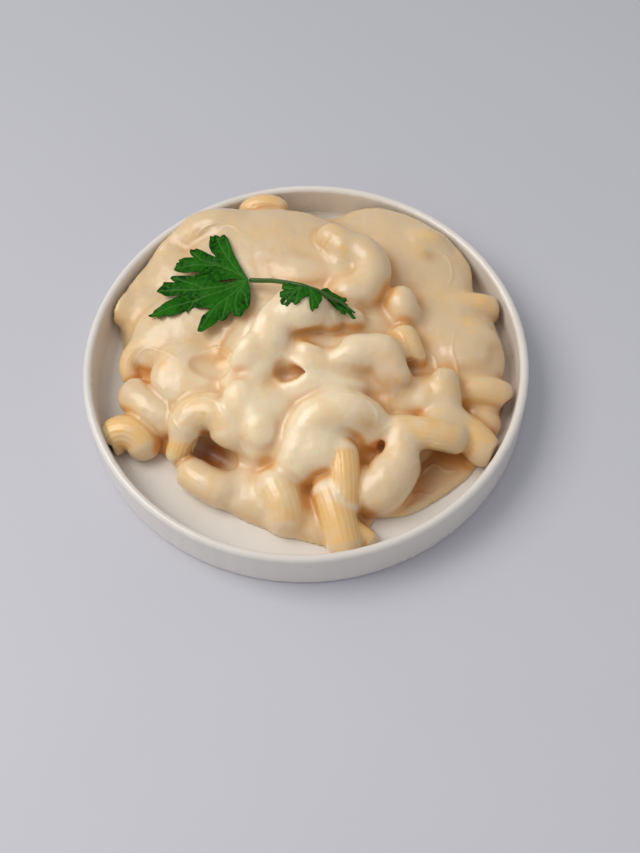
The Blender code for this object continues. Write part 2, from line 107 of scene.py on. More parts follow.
# Swells of sauce: x, y, z, turn, pitch, half length, half width, half height, blend.
SWELLS = {
    "right_lump_b": (71.0, 6.6, 18.0, -30, 0, 8, 5, 4, 3),
    "right_lump": (65.2, -1.2, 20.0, -10, 0, 9, 6, 3.5, 4),
    "left_shelf": (-54.7, -9.5, 20.0, -60, -10, 10, 7, 5, 5),
    "post_fill": (48.4, -22.1, 19.5, 90, 0, 7, 6, 5, 4),
    "right_fill": (69.2, -25.0, 9.0, -60, 0, 10, 8, 6, 4),
    "pit_fill": (40.5, -20.8, 19.0, 20, 0, 13, 9, 5.5, 5),
    "bump_i": (-17.9, -36.4, 26.0, -90, -20, 6, 5, 3, 3),
    "bump_h": (-27.5, -23.6, 30.5, -100, -30, 7, 5, 3, 3),
    "bump_g": (-24.0, -6.0, 36.0, -120, -30, 7, 5, 3, 3),
    "bump_f": (17.2, -18.2, 27.0, 0, -20, 7, 4, 3, 2),
    "bump_e": (3.1, -2.3, 33.5, 0, 0, 5, 4, 3.5, 3),
    "bump_d": (1.8, -13.4, 30.5, 0, -10, 6, 5, 4, 3),
    "bump_c": (36.1, -13.2, 27.5, -60, -10, 6.5, 4.5, 4, 3),
    "bump_b": (30.0, -4.2, 31.0, -20, 0, 5.5, 4.5, 4, 3),
    "bump_a": (18.7, -6.3, 33.0, 20, 0, 6.5, 4.8, 4, 3),
    "hood_fill": (-27.6, -29.2, 20.0, -80, -20, 11, 9, 7, 4),
    "lump_fill": (23.6, -11.3, 20.5, 0, -10, 12, 9, 6, 4),
    "mid_rise": (5.2, -6.3, 27.0, 0, -15, 17, 13, 7, 6),
    "leaf_bed": (-48.0, 46.0, 15.0, -50, 0, 20, 14, 9, 6),
    "mid_fill": (-5.8, -21.6, 25.0, -60, -20, 10, 8, 5, 4),
    "behind_dome": (6.2, -18.9, 27.0, -10, -10, 16, 8, 6, 4),
    "head": (-0.9, 11.7, 37.2, 0, 0, 12, 10.5, 10, 1.6),
    "head_lobe": (8.9, 10.1, 33.0, -20, 0, 7.5, 6.5, 6.5, 1.6),
    "side_lobe": (18.9, 11.1, 30.0, -20, 0, 6, 5, 5, 2.5),
    "ridge": (-19.4, -4.6, 29.0, -122, -32, 24, 12, 9, 3),
    "ridge_foot": (-12.2, -26.4, 26.0, -60, -20, 9, 7, 5, 2.5),
    "slope_c": (-18.1, -32.2, 21.0, -80, -25, 10, 8, 6, 3),
    "dome_lobe": (-4.2, -43.4, 18.0, -100, -20, 12, 10, 9, 4),
    "dome_body": (7.4, -39.4, 20.0, 0, -30, 13, 13, 9, 5),
    "bow_fill": (16.3, 37.2, 28.0, 0, 0, 9, 12, 6, 4),
    "slope_b": (-46.0, -9.0, 19.0, -60, -15, 18, 12, 8, 4),
    "low_front": (-21.0, -55.8, 9.0, -20, 0, 24, 9, 6, 5),
    "low_right": (1.9, -66.6, 7.0, -10, 0, 16, 7, 4, 4),
    "under_leaf": (-50.0, 18.0, 20.0, -150, -10, 24, 16, 9, 5),
    "corner": (-79.0, 36.0, 13.0, -40, 0, 10, 7, 6, 2.5),
    "back": (-10.0, 52.0, 22.0, -10, 0, 34, 22, 11, 8),
    "flap": (42.0, 50.0, 15.0, -40, 0, 34, 24, 10, 5),
    "right": (58.0, 10.0, 12.0, -80, 0, 32, 22, 11, 5),
    "sheet_r": (68.0, 0.0, 12.0, -80, 0, 16, 13, 7, 4),
    "left": (-60.0, 34.0, 9.0, -60, 0, 32, 18, 10, 4),
    "flat_lump": (-0.3, 35.4, 31.2, -20, 0, 9, 5, 2.6, 4),
}

# Hollows pressed into it, in the same terms.
HOLLOWS = {
    "head_left": (-18.1, 19.2, 35.0, 85, 0, 8, 3.5, 5, 3),
    "grooved_bore": (39.9, 4.2, 25.3, 113, 10, 3.2, 2.5, 2.5, 0.6),
    "mouth_bore": (13.3, 50.7, 32.3, 150, 0, 3.6, 2.9, 2.9, 0.8),
    "claw_bore": (-59.0, -0.0, 18.6, 207, 0, 2.6, 1.5, 1.5, 0.5),
    "mouth_l_bore": (-51.3, -36.4, 12.8, 253, -29, 3.6, 2.6, 2.6, 0.6),
    "notch": (28.3, -42.4, 19.0, 90, 0, 3, 1.7, 3.5, 1.5),
    "under_head": (-7.9, -13.9, 33.0, 10, 0, 3.2, 3, 5, 3),
    "hole_tail": (-0.6, -14.5, 31.0, 5, 0, 8, 3, 3, 3),
    "head_shade": (6.4, -1.3, 36.0, -10, 0, 7, 3, 2, 3),
    "valley": (-25.8, 6.1, 36.5, -122, -25, 17, 6, 10, 3),
    "cave": (-38.1, -38.3, 14.0, -35, 0, 11, 5, 5.8, 1.2),
    "left_patch": (-36.2, -5.7, 28.0, -10, 0, 9, 5, 4, 3),
    "rim_gap": (85.0, 14.0, 15.0, -85, 0, 10, 3, 8, 2),
    "rim_hole": (81.2, -24.9, 10.0, 70, 0, 5, 4, 7, 1.5),
    "under_groov": (41.6, -9.9, 24.0, 0, 0, 6, 3, 4, 1.5),
    "under_arm": (46.8, -47.4, 14.0, -8, 0, 16, 4, 6, 1.5),
}


# ---------------------------------------------------------------- node helpers

def new_material(name):
    material = bpy.data.materials.new(name)
    material.use_nodes = True
    tree = material.node_tree
    return material, tree, tree.nodes["Principled BSDF"]


def node(tree, kind, **settings):
    item = tree.nodes.new(kind)
    for key, value in settings.items():
        if key in item.inputs:
            item.inputs[key].default_value = value
        else:
            setattr(item, key, value)
    return item


def add_mesh(name, mesh, material, replaces):
    item = bpy.data.objects.new(name, mesh)
    bpy.context.collection.objects.link(item)
    mesh.materials.append(material)
    mesh.polygons.foreach_set("use_smooth", [True] * len(mesh.polygons))
    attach(item, "root")
    if replaces:
        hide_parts(replaces)
    return item


# ---------------------------------------------------------------- the sauce as a field

LOW = np.array((-88.0, -88.0, FLOOR - 2.0))
HIGH = np.array((88.0, 88.0, 56.0))
CELLS = np.ceil((HIGH - LOW) / VOXEL).astype(int) + 1
AXES = [LOW[i] + VOXEL * np.arange(CELLS[i]) for i in range(3)]


def axes_of(turn, pitch, lean):
    """Heading of a noodle, the way its back faces, and the direction across both."""
    turn, pitch, lean = (math.radians(angle) for angle in (turn, pitch, lean))
    heading = np.array((math.cos(turn) * math.cos(pitch),
                        math.sin(turn) * math.cos(pitch), math.sin(pitch)))
    right = np.array((math.sin(turn), -math.cos(turn), 0.0))
    up = np.cross(right, heading)
    back = math.cos(lean) * up + math.sin(lean) * right
    return heading, back, np.cross(heading, back)


def melt(a, b, width):
    """Smooth minimum: two bodies joined with a fillet."""
    near = np.clip(width - np.abs(a - b), 0, None) / width
    return np.minimum(a, b) - near * near * width * 0.25


def noodle_place(row):
    x, y, z, turn, pitch, lean, bend, sweep = row[:8]
    heading, back, side = axes_of(turn, pitch, lean)
    centre = np.array((x, y, z)) - bend * back
    return heading, back, side, centre, bend, math.radians(sweep) / 2


def noodle_polar(points, row):
    """Along, around and away from a noodle's centre line, for points given as three arrays."""
    heading, back, side, centre, bend, half = noodle_place(row)
    dx, dy, dz = (points[i] - centre[i] for i in range(3))
    forward = dx * heading[0] + dy * heading[1] + dz * heading[2]
    out = dx * back[0] + dy * back[1] + dz * back[2]
    across = dx * side[0] + dy * side[1] + dz * side[2]
    along = np.arctan2(forward, out)
    held = np.clip(along, -half, half)
    ring_out = forward * np.sin(held) + out * np.cos(held) - bend
    ring_along = forward * np.cos(held) - out * np.sin(held)
    away = np.sqrt(ring_out ** 2 + ring_along ** 2 + across ** 2)
    return along / half, np.arctan2(across, ring_out), away


def window(low, high):
    first = np.maximum(((low - LOW) / VOXEL).astype(int), 0)
    last = np.minimum(((high - LOW) / VOXEL).astype(int) + 2, CELLS)
    part = tuple(slice(a, b) for a, b in zip(first, last))
    grid = (AXES[0][part[0]][:, None, None], AXES[1][part[1]][None, :, None],
            AXES[2][part[2]][None, None, :])
    return part, grid


def centre_line(row, steps, reach=1.0):
    heading, back, side, centre, bend, half = noodle_place(row)
    angles = np.linspace(-half * reach, half * reach, steps)[:, None]
    return centre + bend * (np.cos(angles) * back + np.sin(angles) * heading)


def add_noodle(field, row, coat):
    tube, blend = row[8:10]
    line = centre_line(row, 9)
    margin = tube + 6
    part, grid = window(line.min(0) - margin, line.max(0) + margin)
    away = noodle_polar(grid, row)[2]
    field[part] = melt(field[part], (away - tube - coat).astype(np.float32), blend)


def add_blob(field, row, sign):
    """An ellipsoid of sauce melted on (sign 1) or pressed in (sign -1)."""
    x, y, z, turn, pitch, length, width, height, blend = row
    heading, up, side = axes_of(turn, pitch, 0)
    centre = np.array((x, y, z))
    margin = max(length, width, height) + 6
    part, grid = window(centre - margin, centre + margin)
    dx, dy, dz = (grid[i] - centre[i] for i in range(3))
    shares = []
    for direction in (heading, side, up):
        shares.append(dx * direction[0] + dy * direction[1] + dz * direction[2])
    sizes = (length, width, height)
    k0 = np.sqrt(sum((s / size) ** 2 for s, size in zip(shares, sizes)))
    k1 = np.sqrt(sum((s / size ** 2) ** 2 for s, size in zip(shares, sizes)))
    away = (k0 * (k0 - 1) / (k1 + 1e-9)).astype(np.float32)
    field[part] = sign * melt(sign * field[part], away, blend)


def sauce_field():
    x, y = np.meshgrid(AXES[0], AXES[1], indexing="ij")
    angle = np.degrees(np.arctan2(y, x)) % 360
    away = np.hypot(x, y)
    reach = np.interp(angle, np.arange(37) * 10, POOL_REACH + POOL_REACH[:1])
    inset = reach - away
    top = np.clip(1 - ((x - MOUND[0]) ** 2 + (y - MOUND[1]) ** 2) / MOUND[2] ** 2, 0, None)
    height = (FLOOR + POOL_DEPTH * np.clip(inset / POOL_EDGE, 0, 1) ** 0.5
              + MOUND[3] * top ** 0.95)
    field = ((AXES[2][None, None, :] - height[:, :, None]) * 0.75).astype(np.float32)
    field = np.maximum(field, -inset[:, :, None].astype(np.float32))
    for row in SWELLS.values():
        add_blob(field, row, 1)
    for row in NOODLES.values():
        add_noodle(field, row, 0.6)
    for row in HOLLOWS.values():
        add_blob(field, row, -1)
    wall = (away - WALL)[:, :, None]
    floor = (FLOOR - AXES[2])[None, None, :]
    corner = np.hypot(np.maximum(wall + CORNER, 0), np.maximum(floor + CORNER, 0)) - CORNER
    inside = np.where((wall > -CORNER) & (floor > -CORNER), corner, np.maximum(wall, floor))
    return np.maximum(field, inside.astype(np.float32))


def surface_of_field(field):
    """Quads of the zero surface, with one vertex in each cell it crosses."""
    solid = field < 0
    count = np.zeros(tuple(np.array(solid.shape) - 1), np.int8)
    corners = [(i, j, k) for i in (0, 1) for j in (0, 1) for k in (0, 1)]
    for i, j, k in corners:
        count += solid[i:solid.shape[0] - 1 + i, j:solid.shape[1] - 1 + j,
                       k:solid.shape[2] - 1 + k]
    crossed = (count > 0) & (count < 8)
    index = np.full(count.shape, -1, np.int32)
    cells = np.argwhere(crossed)
    index[crossed] = np.arange(len(cells))
    total = np.zeros((len(cells), 3))
    hits = np.zeros(len(cells))
    i, j, k = cells.T
    for corner in corners:
        for axis in range(3):
            if corner[axis]:
                continue
            other = list(corner)
            other[axis] = 1
            first = field[i + corner[0], j + corner[1], k + corner[2]]
            second = field[i + other[0], j + other[1], k + other[2]]
            cut = (first < 0) != (second < 0)
            share = np.where(cut, first / (first - second + 1e-12), 0)
            point = np.tile(np.array(corner, float), (len(cells), 1))
            point[:, axis] = share
            total[cut] += point[cut]
            hits[cut] += 1
    verts = LOW + VOXEL * (cells + total / hits[:, None])
    quads = []
    for axis in range(3):
        second, third = (axis + 1) % 3, (axis + 2) % 3
        before = [slice(None)] * 3
        after = [slice(None)] * 3
        before[axis] = slice(0, -1)
        after[axis] = slice(1, None)
        here, there = solid[tuple(before)], solid[tuple(after)]
        edges = np.argwhere(here != there)
        inner = ((edges[:, second] > 0) & (edges[:, third] > 0)
                 & (edges[:, second] < solid.shape[second] - 1)
                 & (edges[:, third] < solid.shape[third] - 1))
        edges = edges[inner]
        leaving = here[tuple(edges.T)]
        ring = []
        for back_second, back_third in ((1, 1), (0, 1), (0, 0), (1, 0)):
            cell = edges.copy()
            cell[:, second] -= back_second
            cell[:, third] -= back_third
            ring.append(index[tuple(cell.T)])
        quad = np.stack(ring, 1)
        quad[~leaving] = quad[~leaving][:, ::-1]
        quads.append(quad)
    return verts, np.concatenate(quads)


def sample(field, points):
    """The field at points, by trilinear steps."""
    place = np.clip((points - LOW) / VOXEL, 0, CELLS - 1.001)
    base = place.astype(int)
    part = place - base
    value = np.zeros(len(points))
    for i, j, k in [(i, j, k) for i in (0, 1) for j in (0, 1) for k in (0, 1)]:
        weight = (np.where(i, part[:, 0], 1 - part[:, 0])
                  * np.where(j, part[:, 1], 1 - part[:, 1])
                  * np.where(k, part[:, 2], 1 - part[:, 2]))
        value += weight * field[base[:, 0] + i, base[:, 1] + j, base[:, 2] + k]
    return value


# ---------------------------------------------------------------- the sauce as a mesh

RIDGE_COUNT = 20
RIDGE_DEPTH = 0.07

# Fine folds in the skin of the sauce, as lines of (x, y).
FOLDS = {
    "dome": ((-0.9, -33.2), (4.9, -29.4), (12.4, -27.6), (18.6, -27.1), (23.6, -28.5),
             (26.8, -32.8), (26.7, -37.6)),
    "head": ((12.2, 11.1), (12.9, 6), (15.4, 5.5), (19.5, 5.2)),
    "sheet": ((48.8, -1.1), (52.2, -4.5), (52.8, -14.2), (51.9, -18.3)),
    "left_top": ((-43.3, -0.4), (-39.3, 2.3), (-33.8, 3.2), (-29.8, 1.5), (-26.6, -7.5)),
    "claw": ((-69.8, 4.2), (-66.1, 6.2), (-61.8, 6.1), (-55.2, 1.4), (-49.7, -2.8)),
    "seam": ((-60.4, -9), (-56, -15.5), (-54.6, -22.6), (-51.3, -31.1), (-47.7, -35)),
    "hood": ((-49.5, -28.2), (-47.3, -23.2), (-41.7, -21.3), (-35.7, -23.7), (-31.9, -28.6),
             (-31.5, -34.1)),
    "arm": ((28.1, -39.8), (31.8, -36.9), (39.3, -36.2), (48, -37.1)),
    "flap": ((54.8, 49.3), (61.7, 45), (63, 36.1), (60.2, 29.4)),
    "back": ((12.2, 36.9), (9.2, 43.9), (13.2, 47), (20.4, 50.1)),
    "slope": ((-26.7, -38.4), (-24.5, -41.9), (-19.5, -45.2)),
    "smear_a": ((38.2, -53.9), (42.5, -49.7), (49, -44.5), (53.4, -48), (57.8, -47.8)),
    "smear_b": ((37.4, -60.9), (41.2, -57), (46.6, -58.2), (52, -55.5)),
    "shoulder": ((-43.6, 59.7), (-38.6, 62.3), (-32.6, 62.7), (-26.7, 60), (-24.2, 54.9)),
    "drip": ((61.4, 7.6), (59.2, -2.1), (60.7, -9.2), (60.2, -19.7)),
    "beside_head": ((20.8, 8.6), (26.3, 12.6), (33.2, 12.1)),
}
# Painted light: the sauce is painted lighter inside this ring and darker outside it, standing for
# the light falling off away from the heap's middle: x, y, inner and outer radius.
PAINTED_LIGHT_RING = (-8, -20, 24, 72)
FOLD_HEIGHT = 0.32
FOLD_WIDTH = 0.45

# Places where the sauce is so thin that the macaroni colours it: x, y, z, radius, strength.
PATCHES = {
    "left_top": (-33.2, -0.8, 25.2, 6, 0.6),
    "bow_mouth": (16.9, 40.2, 36.8, 3, 0.8),
    "box": (38.7, 1.1, 30.1, 3, 0.8),
    "box_low": (41.1, -6.9, 24.5, 3, 0.7),
    "post_side": (49.1, -19.4, 24, 5, 0.7),
    "dome_right": (22.7, -37.7, 29.5, 5, 0.5),
    "pit": (31.6, -21.8, 24.6, 7, 0.6),
    "lump_low": (34.9, -18.4, 29.2, 4, 0.5),
    "flap": (50.3, 46.3, 24.6, 4, 0.6),
    "crescent": (67.8, 10.5, 22, 5, 0.6),
    "edge": (70.3, -22.8, 17.8, 5, 0.5),
    "claw_end": (-57.5, -4.9, 26.5, 3, 0.8),
    "mouth_l": (-49.1, -37.7, 17, 4, 0.7),
    "bow_low": (30, 21.2, 34.1, 4, 0.5),
    "hood": (-39.8, -28.9, 27.8, 6, 0.6),
    "curl": (22.9, -66, 16.6, 5, 0.4),
}

# Painted shadow: brown painted into the gaps and under overhangs where shadow falls: x, y, z,
# radius, strength.
PAINTED_SHADOW_SPOTS = {
    "cave": (-38, -37, 9, 10, 1.15),
    "hole": (-7.7, -10.6, 27.5, 4, 0.45),
    "pit": (33, -20, 26, 9, 0.35),
    "notch": (28.8, -41, 15.5, 3, 0.8),
    "box": (41, -7.5, 22, 3, 0.5),
    "under_head": (4, 0, 34, 6, 0.25),
    "smear": (47, -48, 7, 13, 0.45),
    "curl": (22, -67, 10, 5, 0.5),
    "dome_right": (22.5, -37.7, 29, 5, 0.4),
    "post_left": (49, -18, 16, 5, 0.5),
    "head_right": (12.7, 5.8, 36, 3, 0.25),
    "flap": (54, 45, 23, 3, 0.45),
    "wall_right": (80, 20, 12, 6, 0.5),
    "wall_corner": (79, -22, 9, 7, 0.7),
}


def gradient(field, points, step=0.6):
    grad = np.empty_like(points)
    for axis in range(3):
        shift = np.zeros(3)
        shift[axis] = step
        grad[:, axis] = sample(field, points + shift) - sample(field, points - shift)
    return grad / (np.linalg.norm(grad, axis=1)[:, None] + 1e-9)


def noise_at(points, scale, seed, octaves=2):
    shift = Vector((seed * 17.3, seed * 5.1, seed * 9.7))
    return np.array([noise.fractal(Vector(p) / scale + shift, 1.0, 2.0, octaves)
                     for p in points])


def noodle_marks(points):
    """For each point: how bare the macaroni under it is, and the height of its ridges there."""
    bare = np.zeros(len(points))
    ridges = np.zeros(len(points))
    for row in NOODLES.values():
        tube, show = row[8], row[10]
        line = centre_line(row, 9)
        near = np.all((points > line.min(0) - tube - 3) & (points < line.max(0) + tube + 3), 1)
        spots = np.flatnonzero(near)
        along, around, away = noodle_polar(points[spots].T, row)
        cover = np.clip(1 - np.abs(away - tube - 0.6) / 0.9, 0, 1)
        ends = np.clip((1.05 - np.abs(along)) / 0.15, 0, 1)
        hold = cover * ends * show
        wins = hold > bare[spots]
        bare[spots[wins]] = hold[wins]
        wave = np.cos(around * RIDGE_COUNT)
        ridges[spots[wins]] = (wave * cover * ends * min(show * 1.4, 1))[wins]
    return bare, ridges


def fold_marks(points):
    """For each point: how near a fold is, from 0 to 1, fading out at the fold's ends."""
    marks = np.zeros(len(points))
    for line in FOLDS.values():
        path = smooth_path(line, 4)
        spots = np.flatnonzero(np.all((points[:, :2] > path.min(0) - 3)
                                      & (points[:, :2] < path.max(0) + 3), 1))
        away, share = line_distance(points[spots, :2], path)
        mark = np.exp(-(away / FOLD_WIDTH) ** 2) * np.sqrt(np.sin(math.pi * share))
        marks[spots] = np.maximum(marks[spots], mark)
    return marks


def spot_marks(points, spots):
    marks = np.zeros(len(points))
    for x, y, z, radius, strength in spots.values():
        away = np.linalg.norm(points - (x, y, z), axis=1)
        marks = np.maximum(marks, strength * np.exp(-(away / radius) ** 2))
    return marks


def mesh_arrays(mesh):
    points = np.empty(len(mesh.vertices) * 3)
    mesh.vertices.foreach_get("co", points)
    return points.reshape(-1, 3)


def paint(mesh, name, values):
    layer = mesh.attributes.new(name, "FLOAT", "POINT")
    layer.data.foreach_set("value", values.astype(np.float32))


def make_sauce(field, material):
    verts, quads = surface_of_field(field)
    detail = np.maximum(noodle_marks(verts)[0], 1.5 * fold_marks(verts))
    bm = bmesh.new()
    made = [bm.verts.new(v) for v in verts]
    for quad in quads:
        bm.faces.new([made[i] for i in quad])
    bm.verts.index_update()
    fine = [face for face in bm.faces if max(detail[v.index] for v in face.verts) > 0.45]
    edges = list({edge for face in fine for edge in face.edges})
    bmesh.ops.subdivide_edges(bm, edges=edges, cuts=1, use_grid_fill=True)
    bm.normal_update()
    under = [face for face in bm.faces if face.normal.z < -0.999]
    bmesh.ops.dissolve_faces(bm, faces=under, use_verts=True)
    mesh = bpy.data.meshes.new("cheese_sauce")
    bm.to_mesh(mesh)
    bm.free()
    points = mesh_arrays(mesh)
    normals = gradient(field, points)
    bare, ridges = noodle_marks(points)
    patch = noise_at(points, 6.0, 1)
    bare = np.clip(bare * (1 + 0.9 * patch), 0, 1)
    lumps = 0.35 * noise_at(points, 9.0, 2) + 0.10 * noise_at(points, 3.0, 3)
    free = np.clip((points[:, 2] - FLOOR - 0.5) / 1.5, 0, 1)
    folds = fold_marks(points) * np.clip(normals[:, 2] * 2, 0, 1)
    rise = free * (lumps * (1 - bare) + RIDGE_DEPTH * ridges + FOLD_HEIGHT * folds)
    points = points + normals * rise[:, None]
    # Painted shade and bounce light: how closed in each point is, sampled outward along its
    # normal; the material paints closed-in creases amber.
    crevice_shade = np.zeros(len(points))
    for reach in (2.0, 4.0, 7.0):
        crevice_shade += np.clip(reach - sample(field, points + normals * reach), 0, None) / reach
    mesh.vertices.foreach_set("co", (points * MM).ravel())
    worn = spot_marks(points, PATCHES) * np.clip(0.9 + 1.6 * noise_at(points, 2.5, 6), 0, 1.3)
    paint(mesh, "thin", np.maximum(bare, worn))
    paint(mesh, "hollow", crevice_shade / 3)
    # Painted shadow: brown spots in the gaps and under overhangs.
    paint(mesh, "painted_shadow", spot_marks(points, PAINTED_SHADOW_SPOTS))
    # Painted light: lighter towards the heap's middle, darker away from it.
    x, y, inner, outer = PAINTED_LIGHT_RING
    away = np.hypot(points[:, 0] - x, points[:, 1] - y) + 9 * noise_at(points, 14.0, 5)
    paint(mesh, "painted_light_falloff", np.clip((away - inner) / (outer - inner), 0, 1))
    mesh.update()
    return add_mesh("cheese_sauce", mesh, material, "pasta_heap")


def make_macaroni(material):
    """Each elbow that shows through the sauce (show 0.3 or more) as a ridged hollow tube with
    open ends.
    """
    bm = bmesh.new()
    around_steps, wall = RIDGE_COUNT * 4, 1.3
    for row in NOODLES.values():
        if row[10] < 0.3:
            continue
        heading, back, side, centre, bend, half = noodle_place(row)
        tube = row[8]
        along_steps = max(6, int(half * 2 * bend / 1.2))
        around = np.arange(around_steps) * math.tau / around_steps
        loops = []
        profile = [(share, 1) for share in np.linspace(-1, 1, along_steps)]
        profile += [(share, 0) for share in np.linspace(1, -1, along_steps)]
        for share, outer in profile:
            angle = share * half
            out = math.cos(angle) * back + math.sin(angle) * heading
            mid = centre + bend * out
            if outer:
                radius = tube + 0.05 * np.cos(around * RIDGE_COUNT)
            else:
                radius = np.full(around_steps, tube - wall)
            ring = mid + radius[:, None] * (np.cos(around)[:, None] * out
                                            + np.sin(around)[:, None] * side)
            loops.append([bm.verts.new(p * MM) for p in ring])
        for low, high in zip(loops, loops[1:] + loops[:1]):
            for i in range(around_steps):
                j = (i + 1) % around_steps
                bm.faces.new((low[i], low[j], high[j], high[i]))
    bmesh.ops.recalc_face_normals(bm, faces=bm.faces)
    mesh = bpy.data.meshes.new("macaroni")
    bm.to_mesh(mesh)
    bm.free()
    return add_mesh("macaroni", mesh, material, "pasta_heap")


# ---------------------------------------------------------------- parsley

LEAF_BASE = (-21.9, 30.2, 33.5)
LEAF_OUTLINE = (
    (0.5, 0.4), (-1.1, 3.6), (-2.9, 7.2), (-4.4, 11.5), (-5.8, 15.2), (-6.8, 19.4), (-7.8, 23.1),
    (-9.1, 25.0), (-10.2, 25.2), (-11.0, 24.4), (-12.0, 25.3), (-13.3, 25.8), (-14.1, 25.0),
    (-15.2, 25.5), (-15.6, 22.8), (-15.8, 20.2), (-14.9, 17.4), (-13.4, 15.0), (-11.9, 13.1),
    (-14.0, 14.7), (-16.2, 16.4), (-18.6, 18.3), (-21.2, 20.2), (-21.9, 19.6), (-23.7, 20.1),
    (-24.0, 18.8), (-23.3, 16.9), (-21.9, 15.4), (-24.3, 15.7), (-26.4, 15.8), (-28.8, 15.2),
    (-28.0, 14.1), (-29.5, 13.7), (-29.9, 12.1), (-30.7, 10.8), (-28.9, 9.3), (-26.1, 8.3),
    (-23.1, 8.0), (-20.0, 7.6), (-21.2, 6.3), (-22.4, 5.8), (-24.7, 6.6), (-27.5, 7.2),
    (-29.9, 7.6), (-31.5, 7.4), (-32.1, 6.7), (-30.8, 5.2), (-29.7, 4.3), (-32.2, 4.8),
    (-34.8, 5.0), (-35.3, 3.6), (-36.5, 2.7), (-37.8, 1.0), (-35.8, -0.5), (-34.3, -2.1),
    (-31.2, -2.7), (-28.8, -2.6), (-26.8, -2.7), (-28.8, -3.5), (-31.1, -4.5), (-33.7, -5.4),
    (-36.1, -7.4), (-38.4, -8.7), (-39.3, -10.0), (-41.5, -10.6), (-39.0, -11.7),
    (-38.0, -11.3), (-36.9, -13.1), (-35.0, -12.5), (-33.1, -11.6), (-32.8, -13.0),
    (-29.4, -12.7), (-27.1, -11.7), (-25.4, -10.5), (-24.7, -12.4), (-24.0, -10.9),
    (-22.3, -9.3), (-20.5, -10.4), (-18.7, -10.9), (-16.8, -10.9), (-15.0, -11.9),
    (-16.8, -13.0), (-18.7, -14.3), (-19.3, -16.0), (-19.9, -18.6), (-20.7, -21.9),
    (-18.7, -22.4), (-16.8, -21.4), (-14.6, -20.4), (-12.8, -18.7), (-12.2, -17.3),
    (-10.3, -18.1), (-8.7, -17.3), (-7.7, -15.4), (-6.7, -14.3), (-6.0, -15.9), (-4.5, -17.1),
    (-2.6, -17.1), (-1.8, -15.4), (0.4, -13.0), (1.1, -10.1), (1.3, -6.9), (1.0, -4.0),
    (0.6, -1.8))
LEAF_SLIT = ((-2.7, 0.8), (-5.3, 1.5), (-8.5, 1.5), (-11.2, 1.6), (-13.1, 1.5), (-10.3, 0.7),
             (-7.6, 0.2), (-5.3, 0.5))
LEAF_VEINS = (
    ((0, 0), (-3.8, 4.6), (-8.4, 13.1), (-11.1, 19.6), (-12.5, 24.3)),
    ((-7.4, 11.5), (-7.4, 16.7), (-8.7, 22.7)),
    ((0, 0), (-2.9, 3.1), (-12.1, 9.8), (-19.6, 14.0), (-22.9, 18.6)),
    ((-12.1, 9.8), (-18.6, 11.2), (-24.7, 11.7), (-29.4, 11.1)),
    ((-0.2, -0.2), (-3.0, -0.1), (-12.2, -1.5), (-22.4, -1.1), (-29.3, 0.1), (-35.9, 1.2)),
    ((-18.7, -0.9), (-23.8, 2.5), (-29.9, 6.4)),
    ((-1.1, -0.6), (-12.2, -4.1), (-24.6, -6.6), (-32.5, -8.8), (-39.4, -10.7)),
    ((-18.7, -5.4), (-22.3, -7.2), (-24.6, -10.7)),
    ((-0.9, -0.9), (-6.3, -6.1), (-12.2, -10.1), (-16.4, -14.8), (-19.3, -20.3)),
    ((-8.1, -7.7), (-9.5, -12.7), (-10.5, -16.9)),
    ((-0.7, -1.4), (-4.4, -6.4), (-5.4, -11.2), (-4.6, -15.7)),
    ((-3.0, -4.5), (-0.8, -7.6), (-0.4, -12.1)))
NEAR_BASE = (1.5, 15.7, 46.2)
NEAR_OUTLINE = (
    (-5.8, 2.8), (-7.0, 1.9), (-8.8, 2.1), (-9.2, 0.4), (-8.1, -0.4), (-9.9, -1.2),
    (-10.1, -3.2), (-9.0, -3.8), (-10.0, -4.9), (-9.6, -6.6), (-8.3, -6.9), (-7.4, -8.1),
    (-6.1, -6.9), (-5.2, -6.5), (-4.2, -8.1), (-2.4, -7.5), (-1.3, -5.9), (-0.5, -5.5),
    (0.6, -4.8), (1.5, -4.9), (1.4, -7.1), (1.7, -9.5), (2.5, -10.9), (3.3, -9.6), (4.7, -9.6),
    (5.2, -8.0), (6.6, -6.0), (6.4, -4.0), (4.2, -2.4), (1.9, -0.7), (-1.1, 1.1))
NEAR_VEINS = (((-1, 0.6), (-5, -0.5), (-9, 1.0)), ((-1, 0.6), (-5, -2), (-9.6, -2.3)),
              ((-1, 0.6), (-5, -3.4), (-8.6, -6.3)), ((-1, 0.6), (-3, -3.5), (-3.8, -7.2)),
              ((2, -1), (2.4, -5), (2.5, -10)), ((2, -1), (3.6, -4.5), (4.9, -8.4)))
FAR_BASE = (7.7, 14.6, 42.6)
FAR_OUTLINE = (
    (0.0, 2.0), (1.3, 3.3), (2.9, 3.8), (4.4, 2.5), (6.4, 2.0), (8.4, 1.3), (10.0, 1.4),
    (10.3, -0.1), (9.0, -1.0), (10.6, -1.8), (10.1, -2.7), (11.1, -4.0), (11.9, -5.5),
    (13.5, -8.0), (11.8, -8.2), (10.7, -6.4), (9.6, -5.4), (9.3, -7.3), (7.9, -7.2),
    (6.8, -5.7), (5.3, -4.6), (3.8, -2.9), (2.2, -1.5), (0.7, -0.2))
FAR_VEINS = (((0.5, 1), (4, 1.8), (9.6, 0.8)), ((0.5, 1), (5, -0.8), (10.4, -2.2)),
             ((0.5, 1), (5, -1.6), (9, -5), (12.6, -7.8)), ((3, -0.6), (6, -3.4), (8.4, -6.8)))
STEM = ((-20.6, 30.0, 33.9), (-15.7, 27.6, 36.5), (-11.6, 24.7, 40.0), (-7.9, 21.3, 43.6),
        (-3.9, 18.6, 45.9), (0.0, 16.9, 46.6), (3.9, 15.4, 46.2), (7.4, 14.4, 45.0),
        (11.2, 12.8, 42.8), (15.1, 12.2, 40.6), (18.2, 10.5, 38.6), (20.8, 8.9, 37.2))
LEAF_STEP = 0.35
LEAF_THICKNESS = 0.35


